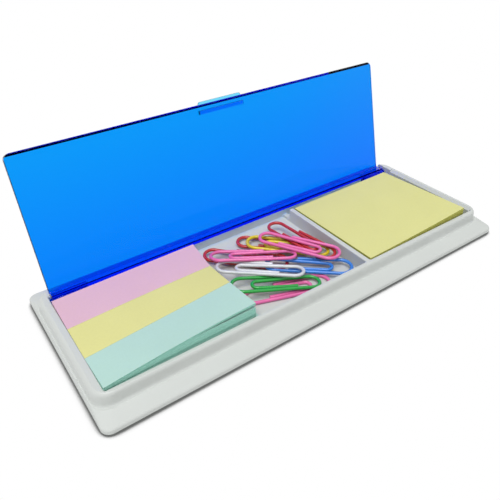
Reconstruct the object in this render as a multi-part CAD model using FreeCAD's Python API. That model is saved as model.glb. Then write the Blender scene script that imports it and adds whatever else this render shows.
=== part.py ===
import FreeCAD, Part
import math
import os
from FreeCAD import Vector

os.makedirs("parts", exist_ok=True)

# Millimetres, +X along the length, +Y to the back, +Z up.
# The origin is on the tray's resting face, halfway along it and near the middle of its depth.

# Tray: flange on an inset foot, rising gently from its rounded edge to the frame.
# Its steps are given as the share of the way in to the frame and the height.
FLANGE_LENGTH = 160.0
FLANGE_FRONT = -33.8
FLANGE_BACK = 31.9
FLANGE_TOP_Z = 3.5
FLANGE_R = 2.8
FOOT_INSET = 1.2
FOOT_H = 0.8
FOOT_SINK = 0.2
FLANGE_STEPS = ((0.0, FOOT_H), (0.0, 1.7), (0.015, 2.0), (0.06, 2.25), (1.0, FLANGE_TOP_Z))

# Tray: raised frame, outer size at the rim, growing by DRAFT down to the flange.
# A hollow cove leads up from the flange, given as height, reach at the two ends and reach at
# front and back. The rim is rounded over, given as height and reach for the two ends and for
# front and back.
RIM_Z = 7.9
FRAME_X = 78.7
FRAME_FRONT = -27.5
FRAME_BACK = 23.9
FRAME_R = 5.0
DRAFT = 0.3
COVE = (1.1, 0.5, 0.9)
COVE_SINK = 0.15
RIM_END = (2.2, 1.5)
RIM_FRONT = (1.0, 0.7)
RIM_TRIM = 0.02
ROUND_STEPS = 5

# Tray: inside of the frame
FLOOR_Z = 2.5
INNER_X = 75.5
INNER_FRONT = -25.8
INNER_R = 0.6
LIP_R = 0.4
END_BEVEL = 1.1
DIVIDER_L = (-25.6, -24.2)
DIVIDER_L_TOP = 5.9
DIVIDER_R = (18.7, 20.6)
DIVIDER_BACK = 16.1
DIVIDER_LOW = 3.6
BACK_WALL_Y = 20.5
SEAT_LOW = 3.4
KNUCKLE_BAY_X = 62.3
KNUCKLE_BAY_Y = 22.4

# Cutting tools run past what they cut by ROOM or MARGIN, and edges are found within NEAR
ROOM = 3.0
MARGIN = 0.5
NEAR = 0.02

# Hinge
HINGE_Y = 20.3
HINGE_Z = 5.33
PIN_R = 1.0
PIN_HOLE_R = 1.06
PIN_L = 3.0
PIN_HOLE_L = 2.1
PIN_EDGE_R = 0.25
OPEN_ANGLE = 103.5
STOP_GAP = 0.1

# Lid, described closed
LID_X = 74.4
LID_T = 1.4
LID_Z = 8.0
LID_FRONT = -27.52
SKIRT_Y = 18.1
SKIRT_LOW = 4.25
HEEL_R = 0.7
FOLD_R = 0.7
LID_CORNER_R = 2.2
BEVEL_FRONT = 1.05
BEVEL_SIDE = 0.3
KNUCKLE_X = 62.7
KNUCKLE_R = 1.65
TAB_HALF = 8.8
TAB_OUT = 0.9
TAB_T = 0.4
TAB_CORNER_R = 0.85
TAB_EDGE_R = 0.15
RIB_HALF = 9.1
RIB_Y = -24.9
RIB_W = 1.3
RIB_H = 0.9
RIB_EDGE_R = 0.25

# Page flags: three strips on one card, front to back, whose loose sheets rise to the right
FLAG_LEFT = -75.47
FLAG_RIGHT = -25.9
FLAG_CARD_T = 0.5
FLAG_LINES = (-25.3, -11.5, 2.3, 16.1)
FLAG_GAP = 0.03
FLAG_TIPS = (-27.1, -27.3, -26.3, -24.9)
FLAG_RISE = ((8.5, 12.6, 1.5), (7.4, 11.5, 1.0), (7.7, 9.0, 1.7), (8.8, 9.4, 1.0))
LOOSE_T = (0.35, 0.9)
LOOSE_GAP = (0.04, 0.9)
LOOSE_FROM = 0.52
LOOSE_FULL = 0.88
LIFT_Z = 6.9
STATIONS = 10

# Memo pad, turned a little in its compartment, with its front right corner lifted
PAD_X = (20.9, 71.2)
PAD_Y = (-25.4, 15.65)
PAD_TURN = 0.4
PAD_BACK_T = 0.5
PAD_FRONT = (8.1, 9.9)
PAD_REAR = (8.1, 8.2)
PAD_BEND = 1.6

# Paper clips, bent from coated wire
WIRE_R = 0.6
CLIP_L = 29.8
CLIP_BIG_R = 3.8
CLIP_MID_R = 3.05
CLIP_SMALL_R = 1.85
CLIP_MID_SHIFT = 0.25
CLIP_SMALL_SHIFT = -0.35
CLIP_INNER_LOOP = 23.0
CLIP_OUTER_END = (11.0, 3.45)
CLIP_INNER_END = (8.0, -2.3)


def box(x0, x1, y0, y1, z0, z1):
    return Part.makeBox(x1 - x0, y1 - y0, z1 - z0, Vector(x0, y0, z0))


def rounded_wire(x0, x1, y0, y1, r, z):
    k = r * (1.0 - math.sqrt(0.5))
    p = [Vector(x0 + r, y0, z), Vector(x1 - r, y0, z), Vector(x1, y0 + r, z), Vector(x1, y1 - r, z),
         Vector(x1 - r, y1, z), Vector(x0 + r, y1, z), Vector(x0, y1 - r, z), Vector(x0, y0 + r, z)]
    m = [Vector(x1 - k, y0 + k, z), Vector(x1 - k, y1 - k, z),
         Vector(x0 + k, y1 - k, z), Vector(x0 + k, y0 + k, z)]
    edges = []
    for i in range(4):
        a, b, c = p[2 * i], p[2 * i + 1], p[(2 * i + 2) % 8]
        edges.append(Part.makeLine(a, b))
        edges.append(Part.Arc(b, m[i], c).toShape())
    return Part.Wire(edges)


def rounded_box(x0, x1, y0, y1, z0, z1, r):
    face = Part.Face(rounded_wire(x0, x1, y0, y1, r, z0))
    return face.extrude(Vector(0, 0, z1 - z0))


def edges_at(shape, z, y=None):
    """Level edges at a height, and where y is given only those at this y."""
    out = []
    for e in shape.Edges:
        b = e.BoundBox
        level = abs(b.ZMin - z) < NEAR and abs(b.ZMax - z) < NEAR
        if level and (y is None or abs(b.YMin - y) < NEAR and abs(b.YMax - y) < NEAR):
            out.append(e)
    return out


def opened(shape):
    s = shape.copy()
    s.rotate(Vector(0, HINGE_Y, HINGE_Z), Vector(1, 0, 0), -OPEN_ANGLE)
    return s


def rounding(shape, depth):
    """Reach of a rim rounding of this height and reach, at a depth below the rim."""
    height, reach = shape
    rest = 1.0 - min(1.0, depth / height)
    return reach * (math.sqrt(1.0 - rest * rest) - 1.0)


def frame_profile():
    """Height, then reach beyond the rim's outer size at the ends and at front and back."""
    out = []
    cove_h, cove_end, cove_front = COVE
    turns = [math.pi / 2 * k / ROUND_STEPS for k in range(ROUND_STEPS + 1)]
    for a in turns:
        z = FLANGE_TOP_Z - COVE_SINK + cove_h * (1.0 - math.cos(a))
        reach = 1.0 - math.sin(a)
        out.append((z, cove_end * reach, cove_front * reach))
    for a in turns:
        depth = RIM_END[0] * (1.0 - math.sin(a))
        out.append((RIM_Z - depth, rounding(RIM_END, depth), rounding(RIM_FRONT, depth)))
    return out


def frame_solid():
    sections = []
    for z, end, front in frame_profile():
        lean = DRAFT * (RIM_Z - z) / (RIM_Z - FLANGE_TOP_Z)
        dx, dy = end + lean, front + lean
        sections.append(rounded_wire(-FRAME_X - dx, FRAME_X + dx, FRAME_FRONT - dy, FRAME_BACK + dy,
                                     FRAME_R + (dx + dy) / 2, z))
    return Part.makeLoft(sections, True, False)


def bay_tool():
    """The room of the three compartments and everything above the rim, with a rounded lip between them."""
    top = RIM_Z - RIM_TRIM
    tool = box(-FLANGE_LENGTH, FLANGE_LENGTH, 2 * FLANGE_FRONT, 2 * FLANGE_BACK, top, RIM_Z + ROOM)
    bays = [(-INNER_X, DIVIDER_L[0]), (DIVIDER_L[1], DIVIDER_R[0]), (DIVIDER_R[1], INNER_X)]
    for x0, x1 in bays:
        tool = tool.fuse(rounded_box(x0, x1, INNER_FRONT, BACK_WALL_Y, FLOOR_Z, RIM_Z + ROOM / 2, INNER_R))
    tool = tool.removeSplitter()
    lip = [e for e in edges_at(tool, top) if max(abs(e.BoundBox.XMin), abs(e.BoundBox.XMax)) < FRAME_X]
    return tool.makeFillet(LIP_R, lip)


def make_tray():
    hx = FLANGE_LENGTH / 2
    end, front = FRAME_X + DRAFT + COVE[1], DRAFT + COVE[2]
    outer = (-hx, hx, FLANGE_FRONT, FLANGE_BACK, FLANGE_R)
    inner = (-end, end, FRAME_FRONT - front, FRAME_BACK + front, FRAME_R)
    outlines = []
    for share, z in FLANGE_STEPS:
        outlines.append(rounded_wire(*[between(pair, share) for pair in zip(outer, inner)], z))
    plate = Part.makeLoft(outlines, True, True)
    foot = rounded_box(-hx + FOOT_INSET, hx - FOOT_INSET, FLANGE_FRONT + FOOT_INSET, FLANGE_BACK - FOOT_INSET,
                       0.0, FOOT_H + FOOT_SINK, FLANGE_R - FOOT_INSET)
    tray = plate.fuse(foot).fuse(frame_solid()).removeSplitter()
    tray = tray.cut(bay_tool())
    tray = tray.cut(box(DIVIDER_L[0] - MARGIN, DIVIDER_L[1] + MARGIN, INNER_FRONT, DIVIDER_BACK,
                        DIVIDER_L_TOP, RIM_Z + ROOM))

    # the notes lie against a bevelled end wall
    corner = Vector(INNER_X, INNER_FRONT, RIM_Z)
    tray = tray.cut(bevel(corner, Vector(END_BEVEL, 0, 0), Vector(0, DIVIDER_BACK - INNER_FRONT, 0)))

    # room for the lid's skirt behind the dividers
    tray = tray.cut(box(-INNER_X, INNER_X, DIVIDER_BACK, BACK_WALL_Y, DIVIDER_LOW, RIM_Z + ROOM))

    # the back wall is cut down to the sloping seat of the open lid, deeper at the knuckles
    seat = opened(box(-INNER_X, INNER_X, SKIRT_Y - 20, SKIRT_Y + LID_T + STOP_GAP, -20, 40))
    behind = box(-INNER_X, INNER_X, BACK_WALL_Y - MARGIN, FLANGE_BACK + ROOM, SEAT_LOW, RIM_Z + ROOM)
    tray = tray.cut(behind.common(seat))
    for side in (-1, 1):
        xa, xb = sorted((side * KNUCKLE_BAY_X, side * INNER_X))
        tray = tray.cut(box(xa, xb, DIVIDER_BACK, KNUCKLE_BAY_Y, FLOOR_Z, RIM_Z + ROOM))
        hole = Part.makeCylinder(PIN_HOLE_R, PIN_HOLE_L + 1, Vector(side * (INNER_X - 1), HINGE_Y, HINGE_Z),
                                 Vector(side, 0, 0))
        tray = tray.cut(hole)
    return tray.removeSplitter()


def bevel(corner, inward, along):
    """Wedge that takes a 45 degree bevel off a top edge running from corner along a direction."""
    down = Vector(0, 0, -inward.Length)
    face = Part.Face(Part.makePolygon([corner, corner + inward, corner + down, corner]))
    return face.extrude(along)


def make_lid():
    y_end = SKIRT_Y + LID_T
    top = LID_Z + LID_T
    plate = rounded_box(-LID_X, LID_X, LID_FRONT, y_end + LID_CORNER_R, LID_Z, top, LID_CORNER_R)
    plate = plate.common(box(-LID_X, LID_X, LID_FRONT, SKIRT_Y + LID_T / 2, LID_Z, top))
    corner = Vector(-LID_X, LID_FRONT, top)
    plate = plate.cut(bevel(corner, Vector(0, BEVEL_FRONT, 0), Vector(2 * LID_X, 0, 0)))
    for x, inward in ((-LID_X, BEVEL_SIDE), (LID_X, -BEVEL_SIDE)):
        corner = Vector(x, LID_FRONT, top)
        plate = plate.cut(bevel(corner, Vector(inward, 0, 0), Vector(0, y_end - LID_FRONT, 0)))
    skirt = box(-LID_X, LID_X, SKIRT_Y, y_end, SKIRT_LOW, top)
    skirt = skirt.makeFillet(HEEL_R, edges_at(skirt, top, y_end))
    lid = plate.fuse(skirt).removeSplitter()
    lid = lid.makeFillet(FOLD_R, edges_at(lid, LID_Z, SKIRT_Y))
    for side in (-1, 1):
        xa, xb = sorted((side * KNUCKLE_X, side * LID_X))
        axis_at = Vector(xa, HINGE_Y, HINGE_Z)
        lid = lid.fuse(Part.makeCylinder(KNUCKLE_R, xb - xa, axis_at, Vector(1, 0, 0)))
        lid = lid.fuse(box(xa, xb, SKIRT_Y + MARGIN, HINGE_Y, HINGE_Z, HINGE_Z + KNUCKLE_R))
        pin = Part.makeCylinder(PIN_R, PIN_L + 1, Vector(side * (LID_X - 1), HINGE_Y, HINGE_Z),
                                Vector(side, 0, 0))
        tip = [e for e in pin.Edges if min(abs(e.BoundBox.XMin), abs(e.BoundBox.XMax)) > LID_X + PIN_L - NEAR]
        lid = lid.fuse(pin.makeFillet(PIN_EDGE_R, tip))
    tab_front = LID_FRONT - TAB_OUT
    tab = rounded_box(-TAB_HALF, TAB_HALF, tab_front, LID_FRONT + ROOM, LID_Z, LID_Z + TAB_T, TAB_CORNER_R)
    tab = tab.makeFillet(TAB_EDGE_R, edges_at(tab, LID_Z + TAB_T))
    tab = tab.common(box(-LID_X, LID_X, tab_front, LID_FRONT + MARGIN, LID_Z, top))
    lid = lid.fuse(tab)
    rib = box(-RIB_HALF, RIB_HALF, RIB_Y - RIB_W / 2, RIB_Y + RIB_W / 2, LID_Z - RIB_H, LID_Z + MARGIN)
    rib = rib.makeFillet(RIB_EDGE_R, [e for e in edges_at(rib, LID_Z - RIB_H) if e.Length > RIB_HALF])
    lid = lid.fuse(rib)
    return opened(lid.removeSplitter())


def smooth(t):
    t = min(1.0, max(0.0, t))
    return t * t * (3.0 - 2.0 * t)


def between(ends, t):
    return ends[0] + (ends[1] - ends[0]) * t


def lofted(front, back):
    """Smooth solid between two long edges, each a list of (x, y, low z, high z) from left to right."""
    sections = []
    for (xf, yf, low_f, top_f), (xb, yb, low_b, top_b) in zip(front, back):
        start = Vector(xf, yf, low_f)
        corners = [start, Vector(xb, yb, low_b), Vector(xb, yb, top_b), Vector(xf, yf, top_f), start]
        sections.append(Part.makePolygon(corners))
    return Part.makeLoft(sections, True, False)


def flag_top(line, u):
    """Height of the top sheet on one long edge, u running from 0 at the left to 1 at the tips."""
    left, right, bend = FLAG_RISE[line]
    return left + (right - left) * (1.0 - (1.0 - u) ** bend)


def flag_edge(line, y, low, top):
    edge = []
    for k in range(STATIONS + 1):
        u = k / STATIONS
        edge.append((between((FLAG_LEFT, FLAG_TIPS[line]), u), y, low(line, u), top(line, u)))
    return edge


def loose_low(line, u):
    """Underside of the loose mint sheets."""
    return flag_top(line, u) - between(LOOSE_T, u)


def block_top(line, u):
    """Top of the mint block below the gap that opens under the loose sheets."""
    gap = between(LOOSE_GAP, smooth((u - LOOSE_FROM) / (LOOSE_FULL - LOOSE_FROM)))
    return loose_low(line, u) - gap


def stack_top(line, u):
    return LIFT_Z


def make_flags(out):
    card_top = FLOOR_Z + FLAG_CARD_T
    out["flag_backing_card"] = box(FLAG_LEFT, FLAG_RIGHT, FLAG_LINES[0], FLAG_LINES[3], FLOOR_Z, card_top)
    tops = {"mint": block_top, "yellow": flag_top, "pink": flag_top}
    for i, colour in enumerate(tops):
        y0 = FLAG_LINES[i] + FLAG_GAP / 2
        y1 = FLAG_LINES[i + 1] - FLAG_GAP / 2
        out[colour + "_flag_stack"] = box(FLAG_LEFT, FLAG_RIGHT, y0, y1, card_top, LIFT_Z)
        front = flag_edge(i, y0, stack_top, tops[colour])
        back = flag_edge(i + 1, y1, stack_top, tops[colour])
        out[colour + "_flag_lifted"] = lofted(front, back)
        if colour == "mint":
            front = flag_edge(i, y0, loose_low, flag_top)
            back = flag_edge(i + 1, y1, loose_low, flag_top)
            out["mint_flag_loose"] = lofted(front, back)


def pad_edge(y, heights):
    edge = []
    for k in range(STATIONS + 1):
        u = k / STATIONS
        edge.append((between(PAD_X, u), y, LIFT_Z, between(heights, u ** PAD_BEND)))
    return edge


def make_pad(out):
    back_top = FLOOR_Z + PAD_BACK_T
    layers = {
        "memo_pad_backing": box(PAD_X[0], PAD_X[1], PAD_Y[0], PAD_Y[1], FLOOR_Z, back_top),
        "memo_pad_stack": box(PAD_X[0], PAD_X[1], PAD_Y[0], PAD_Y[1], back_top, LIFT_Z),
        "memo_pad_lifted": lofted(pad_edge(PAD_Y[0], PAD_FRONT), pad_edge(PAD_Y[1], PAD_REAR)),
    }
    middle = Vector(sum(PAD_X) / 2, sum(PAD_Y) / 2, 0)
    for name, shape in layers.items():
        shape.rotate(middle, Vector(0, 0, 1), PAD_TURN)
        out[name] = shape


def wrap(angle):
    return math.atan2(math.sin(angle), math.cos(angle))


def leg_angle(a, b):
    """Direction, seen from both centres, of the ends of the straight leg from loop a to loop b."""
    du, dv = b[0] - a[0], b[1] - a[1]
    return wrap(math.atan2(dv, du) + math.acos((a[2] - b[2]) / math.hypot(du, dv)))


def touch(loop, end, side):
    """Direction of the point where the straight leg to a free end leaves the loop."""
    du, dv = end[0] - loop[0], end[1] - loop[1]
    return wrap(math.atan2(dv, du) + side * math.acos(loop[2] / math.hypot(du, dv)))


def clip_at(x, y, z, heading, nose, roll, flip):
    """Paper clip of one wire: big loop, long leg, middle loop, inner leg, small loop, free end."""
    h, n, r = math.radians(heading), math.radians(nose), math.radians(roll)
    along = Vector(math.cos(h) * math.cos(n), math.sin(h) * math.cos(n), math.sin(n))
    level = Vector(-math.sin(h), math.cos(h), 0)
    across = level * math.cos(r) + along.cross(level) * math.sin(r)

    def at(u, v):
        return Vector(x, y, z) + along * (u - CLIP_L / 2) + across * (v * flip)

    def on(loop, angle):
        u, v, rad = loop
        return at(u + rad * math.cos(angle), v + rad * math.sin(angle))

    def bend(loop, a, b):
        return Part.Arc(on(loop, a), on(loop, (a + b) / 2), on(loop, b)).toShape()

    big = (CLIP_L - CLIP_BIG_R, 0.0, CLIP_BIG_R)
    mid = (CLIP_MID_R, CLIP_MID_R - CLIP_BIG_R + CLIP_MID_SHIFT, CLIP_MID_R)
    small = (CLIP_INNER_LOOP - CLIP_SMALL_R, CLIP_SMALL_SHIFT, CLIP_SMALL_R)
    turn = 2 * math.pi
    a_big = touch(big, CLIP_OUTER_END, -1)
    a_leg = leg_angle(big, mid)
    a_inner = leg_angle(mid, small)
    a_small = touch(small, CLIP_INNER_END, 1)
    edges = [
        Part.makeLine(at(*CLIP_OUTER_END), on(big, a_big)),
        bend(big, a_big, a_leg),
        Part.makeLine(on(big, a_leg), on(mid, a_leg)),
        bend(mid, a_leg + turn, a_inner),
        Part.makeLine(on(mid, a_inner), on(small, a_inner)),
        bend(small, a_inner, a_small),
        Part.makeLine(on(small, a_small), at(*CLIP_INNER_END)),
    ]
    free, bent = (vertex.Point for vertex in edges[0].Vertexes)
    ring = Part.makeCircle(WIRE_R, free, bent - free)
    return Part.Wire(edges).makePipeShell([Part.Wire(ring)], True, False)


def make_clips(out):
    """Each clip by its middle, its heading, nose and roll in degrees, and the side its free end is on."""
    out["clip_red_a"] = clip_at(11.1, -0.2, 5.9, -81.5, 0.0, -0.5, 1)
    out["clip_red_b"] = clip_at(4.6, 5.4, 3.5, -42.5, -1.0, 0.0, 1)
    out["clip_red_c"] = clip_at(-10.3, 4.6, 3.8, -44.5, -2.0, 3.5, 1)
    out["clip_yellow"] = clip_at(5.6, 0.8, 4.72, 134.0, 1.0, 1.0, -1)
    out["clip_pink_a"] = clip_at(7.2, -3.8, 7.2, -60.0, 0.0, 0.0, 1)
    out["clip_pink_b"] = clip_at(-9.1, 1.7, 6.3, 147.5, 0.5, 12.5, -1)
    out["clip_white"] = clip_at(-11.6, -5.9, 6.3, 136.0, -2.0, 8.0, -1)
    out["clip_blue"] = clip_at(4.4, -12.6, 4.6, -40.5, 0.0, 0.5, 1)
    out["clip_green"] = clip_at(-11.2, -14.4, 5.3, 155.5, 5.0, 3.0, -1)
    out["clip_pink_c"] = clip_at(-8.4, -17.0, 3.2, -18.0, 0.0, -0.5, 1)


def main():
    out = {}
    out["tray"] = make_tray()
    out["lid"] = make_lid()
    make_flags(out)
    make_pad(out)
    make_clips(out)
    for name, shape in out.items():
        if shape.ShapeType == "Compound" and len(shape.Solids) == 1:
            shape = shape.Solids[0]
        b = shape.BoundBox
        print(name, shape.ShapeType, len(shape.Solids), shape.isValid(), round(shape.Volume, 1),
              [round(q, 2) for q in (b.XMin, b.XMax, b.YMin, b.YMax, b.ZMin, b.ZMax)])
        shape.exportStep("parts/" + name + ".step")


main()
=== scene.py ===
import math

import bpy
import numpy as np
from mathutils import Matrix, Vector


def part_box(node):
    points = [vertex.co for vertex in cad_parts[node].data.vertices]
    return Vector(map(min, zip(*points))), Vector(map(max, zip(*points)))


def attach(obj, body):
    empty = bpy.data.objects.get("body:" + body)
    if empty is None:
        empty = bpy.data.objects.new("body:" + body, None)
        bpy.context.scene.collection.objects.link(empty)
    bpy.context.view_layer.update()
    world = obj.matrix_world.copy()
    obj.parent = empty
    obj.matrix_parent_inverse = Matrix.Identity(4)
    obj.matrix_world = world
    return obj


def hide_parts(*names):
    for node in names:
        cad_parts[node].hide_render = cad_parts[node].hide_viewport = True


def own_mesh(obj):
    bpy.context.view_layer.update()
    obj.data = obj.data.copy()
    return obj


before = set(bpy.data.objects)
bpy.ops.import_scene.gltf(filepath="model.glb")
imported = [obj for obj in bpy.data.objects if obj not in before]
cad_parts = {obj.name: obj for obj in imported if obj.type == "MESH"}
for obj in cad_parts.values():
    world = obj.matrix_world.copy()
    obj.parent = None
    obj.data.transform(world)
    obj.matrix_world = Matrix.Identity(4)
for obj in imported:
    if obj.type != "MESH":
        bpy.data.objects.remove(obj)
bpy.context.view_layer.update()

MM = 0.001

# Camera, fitted to the edges of the tray and the lid in the 500 by 500 photograph
PHOTO_PX = 500.0
SENSOR_MM = 36.0
FOCAL_PX = 533.8
CAMERA_MM = (-95.41, -123.0, 117.67)
CAMERA_YAW = 0.6048
CAMERA_PITCH = 0.6105
CAMERA_ROLL = -0.0163
CAMERA_SHIFT_PX = (2.6, -7.1)

# Loose paper, in millimetres as in the construction
FLAG_TIPS = (-27.1, -27.3, -26.3, -24.9)
FLAG_RISE = ((8.5, 12.6, 1.5), (7.4, 11.5, 1.0), (7.7, 9.0, 1.7), (8.8, 9.4, 1.0))
LOOSE_T = (0.35, 0.9)
LOOSE_GAP = (0.04, 0.9)
LOOSE_FROM = 0.52
LOOSE_FULL = 0.88
PAD_TURN = math.radians(0.4)
PAD_SIZE = (50.3, 41.05)
PAD_FRONT = (8.1, 9.9)
PAD_REAR = (8.1, 8.2)
PAD_BEND = 1.6
LIFT_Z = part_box("memo_pad_lifted")[0].z / MM

# Single sheets: how far they slip sideways, the share of their height left open between them,
# the cells of a sheet along and across it, and the pitch of the lines on a cut edge
SHEET_SLIP = 0.05
SHEET_SPACE = 0.06
SHEET_CELLS = (30, 6)
SHEET_PITCH = 0.22
CARD_PITCH = 0.5

# Lid: its plate leans back by this share of its height, the skirt lies in front of this depth,
# and the plate's painted shade, deepest at the hinge, fades out between these heights, in millimetres
LID_LEAN = 0.24
SKIRT_DEPTH = 21.7
PAINTED_SHADE_Z = (8.0, 50.0)

# Stage and light, in metres and watts; the world is dimmer as a light than where it is seen
FLOOR_HALF = 3.0
# reach of the painted contact shadow that darkens the floor's glow near the object
PAINTED_SHADOW_REACH = 0.004
WORLD_LIGHT = 0.36
WORLD_SEEN = 1.0
LAMP_AT = (-0.5, -0.45, 1.85)
LAMP_SIZE = 1.5
LAMP_POWER = 31.0
SHARP_EDGE = math.radians(35)


def between(ends, t):
    return ends[0] + (ends[1] - ends[0]) * t


def smooth(t):
    t = min(1.0, max(0.0, t))
    return t * t * (3.0 - 2.0 * t)


def new_material(name):
    mat = bpy.data.materials.new(name)
    mat.use_nodes = True
    tree = mat.node_tree
    return mat, tree, tree.nodes["Principled BSDF"]


def add(tree, kind, **inputs):
    """New node with the named input sockets, or those numbered i0, i1, set to values or linked to sockets."""
    node = tree.nodes.new(kind)
    for key, value in inputs.items():
        socket = node.inputs[int(key[1:]) if key[0] == "i" and key[1:].isdigit() else key]
        if isinstance(value, bpy.types.NodeSocket):
            tree.links.new(value, socket)
        else:
            socket.default_value = value
    return node


def object_coords(tree):
    return add(tree, "ShaderNodeTexCoord").outputs["Object"]


def noise(tree, scale, detail=3.0, rough=0.5):
    node = add(tree, "ShaderNodeTexNoise", Scale=scale, Detail=detail, Roughness=rough)
    tree.links.new(object_coords(tree), node.inputs["Vector"])
    return node.outputs["Fac"]


def ramp(tree, fac, stops):
    node = add(tree, "ShaderNodeValToRGB", Fac=fac)
    elements = node.color_ramp.elements
    while len(elements) < len(stops):
        elements.new(0.5)
    for element, (at, colour) in zip(elements, stops):
        element.position = at
        element.color = (*colour, 1.0)
    return node.outputs["Color"]


def math_node(tree, operation, a, b=0.0):
    node = add(tree, "ShaderNodeMath", i0=a, i1=b)
    node.operation = operation
    return node.outputs["Value"]


def weighted(tree, a, share_a, b, share_b):
    part_a = math_node(tree, "MULTIPLY", a, share_a)
    part_b = math_node(tree, "MULTIPLY", b, share_b)
    return math_node(tree, "ADD", part_a, part_b)


def spread(tree, value, low, high):
    """The values from 0 to 1, spread from low to high."""
    node = add(tree, "ShaderNodeMapRange", Value=value)
    node.inputs["To Min"].default_value = low
    node.inputs["To Max"].default_value = high
    return node.outputs["Result"]


def either_colour(tree, factor, a, b):
    """Colour a where the factor is 0 and b where it is 1."""
    node = add(tree, "ShaderNodeMix", Factor=factor)
    node.data_type = "RGBA"
    sockets = {socket.name: socket for socket in node.inputs if socket.type == "RGBA"}
    for key, colour in (("A", a), ("B", b)):
        if isinstance(colour, bpy.types.NodeSocket):
            tree.links.new(colour, sockets[key])
        else:
            sockets[key].default_value = colour
    return [socket for socket in node.outputs if socket.type == "RGBA"][0]


def either_shader(tree, factor, a, b):
    """Makes shader a the surface where the factor is 0, and b where it is 1."""
    node = add(tree, "ShaderNodeMixShader", Fac=factor, i1=a, i2=b)
    tree.links.new(node.outputs["Shader"], tree.nodes["Material Output"].inputs["Surface"])


def bump(tree, height, strength, distance):
    node = add(tree, "ShaderNodeBump", Strength=strength, Distance=distance, Height=height)
    return node.outputs["Normal"]


def shade(colour, k):
    return tuple(min(1.0, c * k) for c in colour)


def white_plastic():
    mat, tree, bsdf = new_material("white_plastic")
    base = (0.616, 0.643, 0.62)
    cloud = noise(tree, 45.0, 2.0)
    tree.links.new(ramp(tree, cloud, [(0.3, shade(base, 0.975)), (0.7, base)]), bsdf.inputs["Base Color"])
    grain = noise(tree, 2600.0, 3.0)
    tree.links.new(spread(tree, grain, 0.38, 0.52), bsdf.inputs["Roughness"])
    tree.links.new(bump(tree, grain, 0.12, 0.00004), bsdf.inputs["Normal"])
    bsdf.inputs["IOR"].default_value = 1.5
    return mat


def blue_acrylic():
    """Clear blue plate with painted shade, deeper in colour towards the hinge, and a skirt left without that
    painted shade, all passing lamp light.
    """
    mat, tree, bsdf = new_material("blue_acrylic")
    place = add(tree, "ShaderNodeSeparateXYZ", Vector=object_coords(tree)).outputs
    span = add(tree, "ShaderNodeMapRange", Value=place["Z"])
    span.inputs["From Min"].default_value = PAINTED_SHADE_Z[0] * MM
    span.inputs["From Max"].default_value = PAINTED_SHADE_Z[1] * MM
    # painted shade: the plate's colour is painted deeper towards the hinge and fades out upwards, its edge
    # broken by a little noise
    painted_shade_noise = noise(tree, 30.0, 2.0)
    level = math_node(tree, "ADD", span.outputs["Result"], math_node(tree, "MULTIPLY", painted_shade_noise, 0.04))
    painted_shade_tint = ramp(tree, level, [(0.0, (0.9, 0.66, 1.0)), (1.0, (1.0, 0.97, 0.97))])
    depth = math_node(tree, "SUBTRACT", place["Y"], math_node(tree, "MULTIPLY", place["Z"], LID_LEAN))
    is_plate = math_node(tree, "GREATER_THAN", depth, SKIRT_DEPTH * MM)
    # the skirt keeps the plain colour, without the painted shade
    clear = (1.0, 1.0, 1.0, 1.0)
    tree.links.new(either_colour(tree, is_plate, clear, painted_shade_tint), bsdf.inputs["Base Color"])
    tree.links.new(spread(tree, noise(tree, 900.0, 4.0), 0.0, 0.05), bsdf.inputs["Roughness"])
    bsdf.inputs["Transmission Weight"].default_value = 1.0
    bsdf.inputs["IOR"].default_value = 1.49
    bsdf.inputs["Specular Tint"].default_value = (0.05, 0.12, 0.3, 1.0)
    inside = add(tree, "ShaderNodeVolumeAbsorption", Color=(0.0, 0.81, 0.9975, 1.0), Density=4100.0)
    tree.links.new(inside.outputs["Volume"], tree.nodes["Material Output"].inputs["Volume"])
    tinted = add(tree, "ShaderNodeBsdfTransparent", Color=(0.5, 0.8, 1.0, 1.0))
    from_lamp = add(tree, "ShaderNodeLightPath").outputs["Is Shadow Ray"]
    either_shader(tree, from_lamp, bsdf.outputs["BSDF"], tinted.outputs["BSDF"])
    return mat


def paper(name, face, edge_with_painted_shade, pitch):
    """Uncoated paper: faint fibres on the faces; on the cut edges, the single sheets as fine lines over
    painted shade, darker and deeper in colour than the faces.
    """
    mat, tree, bsdf = new_material(name)
    fibre = noise(tree, 1500.0, 5.0, 0.6)
    cloud = noise(tree, 60.0, 2.0)
    mixed = weighted(tree, fibre, 0.5, cloud, 0.5)
    top = ramp(tree, mixed, [(0.35, shade(face, 0.97)), (0.65, shade(face, 1.02))])
    up = add(tree, "ShaderNodeSeparateXYZ", Vector=object_coords(tree)).outputs["Z"]
    wave = math_node(tree, "SINE", math_node(tree, "MULTIPLY", up, 2 * math.pi / (pitch * MM)))
    cut = weighted(tree, wave, 0.3, fibre, 0.9)
    # painted shade: the cut edges get a darker, deeper colour than the faces, besides the real lines of the
    # sheets
    side_with_painted_shade = ramp(tree, cut, [(0.2, shade(edge_with_painted_shade, 0.86)), (0.8, shade(edge_with_painted_shade, 1.06))])
    normal = add(tree, "ShaderNodeNewGeometry").outputs["Normal"]
    level = math_node(tree, "ABSOLUTE", add(tree, "ShaderNodeSeparateXYZ", Vector=normal).outputs["Z"])
    is_face = math_node(tree, "GREATER_THAN", level, 0.5)
    tree.links.new(either_colour(tree, is_face, side_with_painted_shade, top), bsdf.inputs["Base Color"])
    bsdf.inputs["Roughness"].default_value = 0.85
    bsdf.inputs["Specular IOR Level"].default_value = 0.25
    tree.links.new(bump(tree, fibre, 0.15, 0.00003), bsdf.inputs["Normal"])
    return mat


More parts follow.
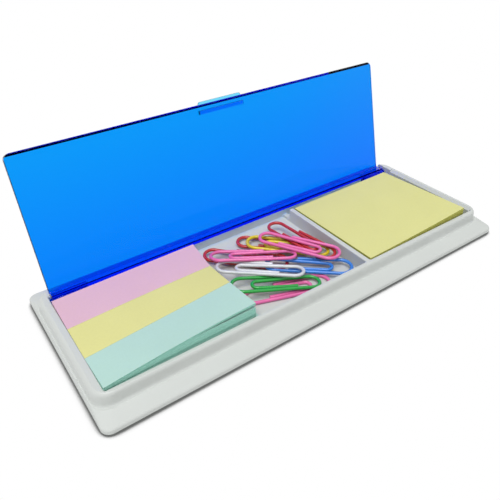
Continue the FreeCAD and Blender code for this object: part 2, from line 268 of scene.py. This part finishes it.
def coated_wire(name, colour):
    mat, tree, bsdf = new_material(name)
    cloud = noise(tree, 220.0, 2.0)
    tone = ramp(tree, cloud, [(0.3, shade(colour, 0.9)), (0.7, shade(colour, 1.05))])
    tree.links.new(tone, bsdf.inputs["Base Color"])
    tree.links.new(spread(tree, noise(tree, 3000.0, 2.0), 0.25, 0.38), bsdf.inputs["Roughness"])
    bsdf.inputs["Coat Weight"].default_value = 0.3
    bsdf.inputs["Coat Roughness"].default_value = 0.15
    return mat


def assign(obj, mat):
    obj.data.materials.clear()
    obj.data.materials.append(mat)


def link_mesh(name, verts, faces):
    mesh = bpy.data.meshes.new(name)
    mesh.from_pydata(verts, [], faces)
    mesh.update()
    mesh.shade_smooth()
    mesh.set_sharp_from_angle(angle=SHARP_EDGE)
    obj = bpy.data.objects.new(name, mesh)
    bpy.context.scene.collection.objects.link(obj)
    return obj


def slab(verts, faces, place):
    """Adds one closed sheet bundle; place(u, v, w) gives its points, w being 0 below and 1 above."""
    along, across = SHEET_CELLS
    start = len(verts)
    for w in (0.0, 1.0):
        for i in range(along + 1):
            for j in range(across + 1):
                verts.append(place(i / along, j / across, w))
    row = across + 1
    size = (along + 1) * row
    for i in range(along):
        for j in range(across):
            a = start + i * row + j
            faces.append((a, a + 1, a + row + 1, a + row))
            b = a + size
            faces.append((b, b + row, b + row + 1, b + 1))
    for i in range(along):
        for j in (0, across):
            a = start + i * row + j
            quad = (a, a + row, a + row + size, a + size)
            faces.append(quad if j == 0 else quad[::-1])
    for j in range(across):
        for i in (0, along):
            a = start + i * row + j
            quad = (a, a + size, a + size + 1, a + 1)
            faces.append(quad if i == 0 else quad[::-1])


def sheet_stack(name, place, layers, slide, seed):
    """Stack of thin bundles from the lower to the upper surface of place(u, v, w), slipped a little.

    slide holds the share of the sideways slip at the front and back edge."""
    rng = np.random.default_rng(seed)
    verts, faces = [], []
    for k in range(layers):
        slip_x, slip_y = rng.uniform(-SHEET_SLIP, 0.0), rng.uniform(-SHEET_SLIP, SHEET_SLIP)
        low = (k + (SHEET_SPACE if k else 0.0)) / layers
        high = (k + 1) / layers

        def layer(u, v, w, low=low, high=high, sx=slip_x, sy=slip_y):
            x, y, z = place(u, v, between((low, high), w))
            return ((x + sx * u) * MM, (y + sy * between(slide, v)) * MM, z * MM)
        slab(verts, faces, layer)
    return link_mesh(name, verts, faces)


def flag_top(line, u):
    left, right, bend = FLAG_RISE[line]
    return left + (right - left) * (1.0 - (1.0 - u) ** bend)


def loose_low(line, u):
    return flag_top(line, u) - between(LOOSE_T, u)


def block_top(line, u):
    gap = between(LOOSE_GAP, smooth((u - LOOSE_FROM) / (LOOSE_FULL - LOOSE_FROM)))
    return loose_low(line, u) - gap


def flag_place(node, line, low, top):
    """Point function of one strip of flags, its outline taken from the CAD node."""
    lo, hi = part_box(node)
    left = lo.x / MM
    ends = (lo.y / MM, hi.y / MM)

    def place(u, v, w):
        tip = between((FLAG_TIPS[line], FLAG_TIPS[line + 1]), v)
        under = between((low(line, u), low(line + 1, u)), v)
        over = between((top(line, u), top(line + 1, u)), v)
        return between((left, tip), u), between(ends, v), between((under, over), w)
    return place


def pad_place(node):
    """Point function of the turned notes, centred in the box of the CAD node."""
    lo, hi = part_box(node)
    middle = (lo + hi) / (2 * MM)
    base = lo.z / MM
    c, s = math.cos(PAD_TURN), math.sin(PAD_TURN)

    def place(u, v, w):
        dx, dy = (u - 0.5) * PAD_SIZE[0], (v - 0.5) * PAD_SIZE[1]
        rise = u ** PAD_BEND
        top = between((between(PAD_FRONT, rise), between(PAD_REAR, rise)), v)
        return middle.x + c * dx - s * dy, middle.y + s * dx + c * dy, between((base, top), w)
    return place


def loose_paper(name, node, place, layers, slide, seed, mat, slot):
    piece = sheet_stack(name, place, layers, slide, seed)
    assign(piece, mat)
    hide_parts(node)
    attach(piece, "base")
    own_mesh(piece)


def flat_low(line, u):
    return LIFT_Z


def make_paper():
    # The second colour of each paper is its cut edge with painted shade, darker and deeper than the face
    mint = paper("mint_paper", (0.475, 0.70, 0.635), (0.33, 0.69, 0.57), SHEET_PITCH)
    lemon = paper("lemon_paper", (0.745, 0.725, 0.30), (0.52, 0.50, 0.16), SHEET_PITCH)
    pink = paper("pink_paper", (0.73, 0.475, 0.585), (0.52, 0.30, 0.42), SHEET_PITCH)
    note = paper("note_paper", (0.73, 0.72, 0.30), (0.47, 0.47, 0.09), SHEET_PITCH)
    card = paper("backing_card", (0.72, 0.72, 0.66), (0.55, 0.53, 0.45), CARD_PITCH)
    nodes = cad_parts
    assign(nodes["mint_flag_stack"], mint)
    assign(nodes["yellow_flag_stack"], lemon)
    assign(nodes["pink_flag_stack"], pink)
    assign(nodes["memo_pad_stack"], note)
    assign(nodes["memo_pad_backing"], card)
    assign(nodes["flag_backing_card"], card)
    mint_raised = flag_place("mint_flag_lifted", 0, flat_low, block_top)
    mint_loose = flag_place("mint_flag_loose", 0, loose_low, flag_top)
    yellow_raised = flag_place("yellow_flag_lifted", 1, flat_low, flag_top)
    pink_raised = flag_place("pink_flag_lifted", 2, flat_low, flag_top)
    notes_raised = pad_place("memo_pad_lifted")
    jobs = [
        ("mint_flags_raised", "mint_flag_lifted", mint_raised, 14, (1, 0), mint, "paper_mint"),
        ("mint_flags_loose", "mint_flag_loose", mint_loose, 5, (1, 0), mint, "paper_mint"),
        ("yellow_flags_raised", "yellow_flag_lifted", yellow_raised, 14, (0, 0), lemon, "paper_lemon"),
        ("pink_flags_raised", "pink_flag_lifted", pink_raised, 10, (0, 1), pink, "paper_pink"),
        ("notes_raised", "memo_pad_lifted", notes_raised, 10, (1, 1), note, "paper_pad"),
    ]
    for seed, (name, node, place, layers, slide, mat, slot) in enumerate(jobs):
        loose_paper(name, node, place, layers, slide, seed, mat, slot)


def make_clips():
    colours = {
        "red": (0.52, 0.022, 0.022), "yellow": (0.76, 0.62, 0.012), "pink": (0.85, 0.16, 0.43),
        "white": (0.70, 0.72, 0.75), "blue": (0.03, 0.22, 0.72), "green": (0.012, 0.36, 0.045),
    }
    mats = {key: coated_wire("clip_" + key, colour) for key, colour in colours.items()}
    for name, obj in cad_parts.items():
        if name.startswith("clip_"):
            assign(obj, mats[name.split("_")[1]])


def seen_ray(tree):
    """1 for rays by which the camera sees this, straight, through glass or in a gloss, 0 for lighting."""
    rays = add(tree, "ShaderNodeLightPath").outputs
    seen = math_node(tree, "MAXIMUM", rays["Is Camera Ray"], rays["Is Glossy Ray"])
    seen = math_node(tree, "MAXIMUM", seen, rays["Is Transmission Ray"])
    return math_node(tree, "MULTIPLY", seen, math_node(tree, "LESS_THAN", rays["Diffuse Depth"], 0.5))


def make_stage():
    """Pale floor that fills the view: where the camera sees it, it glows white, with a painted contact shadow
    near the object; lamps and bounces see a plain pale floor.
    """
    half = FLOOR_HALF
    verts = [(-half, -half, 0), (half, -half, 0), (half, half, 0), (-half, half, 0)]
    mesh = bpy.data.meshes.new("floor")
    mesh.from_pydata(verts, [], [(0, 1, 2, 3)])
    floor = bpy.data.objects.new("floor", mesh)
    bpy.context.scene.collection.objects.link(floor)
    mat, tree, bsdf = new_material("floor_white")
    bsdf.inputs["Base Color"].default_value = (0.9, 0.9, 0.9, 1.0)
    bsdf.inputs["Roughness"].default_value = 0.9
    bsdf.inputs["Specular IOR Level"].default_value = 0.0
    open_sky = add(tree, "ShaderNodeAmbientOcclusion", Distance=PAINTED_SHADOW_REACH).outputs["AO"]
    # painted contact shadow: the glow seen by the camera turns dark where the floor is closed in near the
    # object
    painted_contact_shadow = ramp(tree, open_sky, [(0.55, (0.14, 0.145, 0.14)), (0.76, (1.0, 1.0, 1.0))])
    glow = add(tree, "ShaderNodeEmission", Color=painted_contact_shadow, Strength=1.0)
    either_shader(tree, seen_ray(tree), bsdf.outputs["BSDF"], glow.outputs["Emission"])
    mesh.materials.append(mat)


def make_world():
    world = bpy.data.worlds.new("studio")
    bpy.context.scene.world = world
    world.use_nodes = True
    tree = world.node_tree
    back = tree.nodes["Background"]
    back.inputs["Color"].default_value = (1.0, 1.0, 1.0, 1.0)
    tree.links.new(spread(tree, seen_ray(tree), WORLD_LIGHT, WORLD_SEEN), back.inputs["Strength"])


def area_light(name, place, size, power):
    data = bpy.data.lights.new(name, "AREA")
    data.shape = "DISK"
    data.size = size
    data.energy = power
    lamp = bpy.data.objects.new(name, data)
    lamp.location = place
    lamp.rotation_euler = (-Vector(place)).to_track_quat("-Z", "Y").to_euler()
    bpy.context.scene.collection.objects.link(lamp)


def make_camera():
    sy, cy = math.sin(CAMERA_YAW), math.cos(CAMERA_YAW)
    sp, cp = math.sin(CAMERA_PITCH), math.cos(CAMERA_PITCH)
    ahead = Vector((sy * cp, cy * cp, -sp))
    level = Vector((cy, -sy, 0.0))
    upward = level.cross(ahead)
    c, s = math.cos(CAMERA_ROLL), math.sin(CAMERA_ROLL)
    right = c * level + s * upward
    up = c * upward - s * level
    data = bpy.data.cameras.new("camera")
    data.sensor_width = SENSOR_MM
    data.lens = FOCAL_PX / PHOTO_PX * SENSOR_MM
    data.shift_x = -CAMERA_SHIFT_PX[0] / PHOTO_PX
    data.shift_y = CAMERA_SHIFT_PX[1] / PHOTO_PX
    data.clip_start = 0.01
    cam = bpy.data.objects.new("camera", data)
    turn = Matrix((right, up, -ahead)).transposed().to_4x4()
    cam.matrix_world = Matrix.Translation(Vector(CAMERA_MM) * MM) @ turn
    bpy.context.scene.collection.objects.link(cam)
    bpy.context.scene.camera = cam


assign(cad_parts["tray"], white_plastic())
assign(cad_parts["lid"], blue_acrylic())
make_paper()
make_clips()
make_stage()
make_world()
area_light("overhead", LAMP_AT, LAMP_SIZE, LAMP_POWER)
make_camera()
bpy.context.scene.view_settings.view_transform = "Standard"
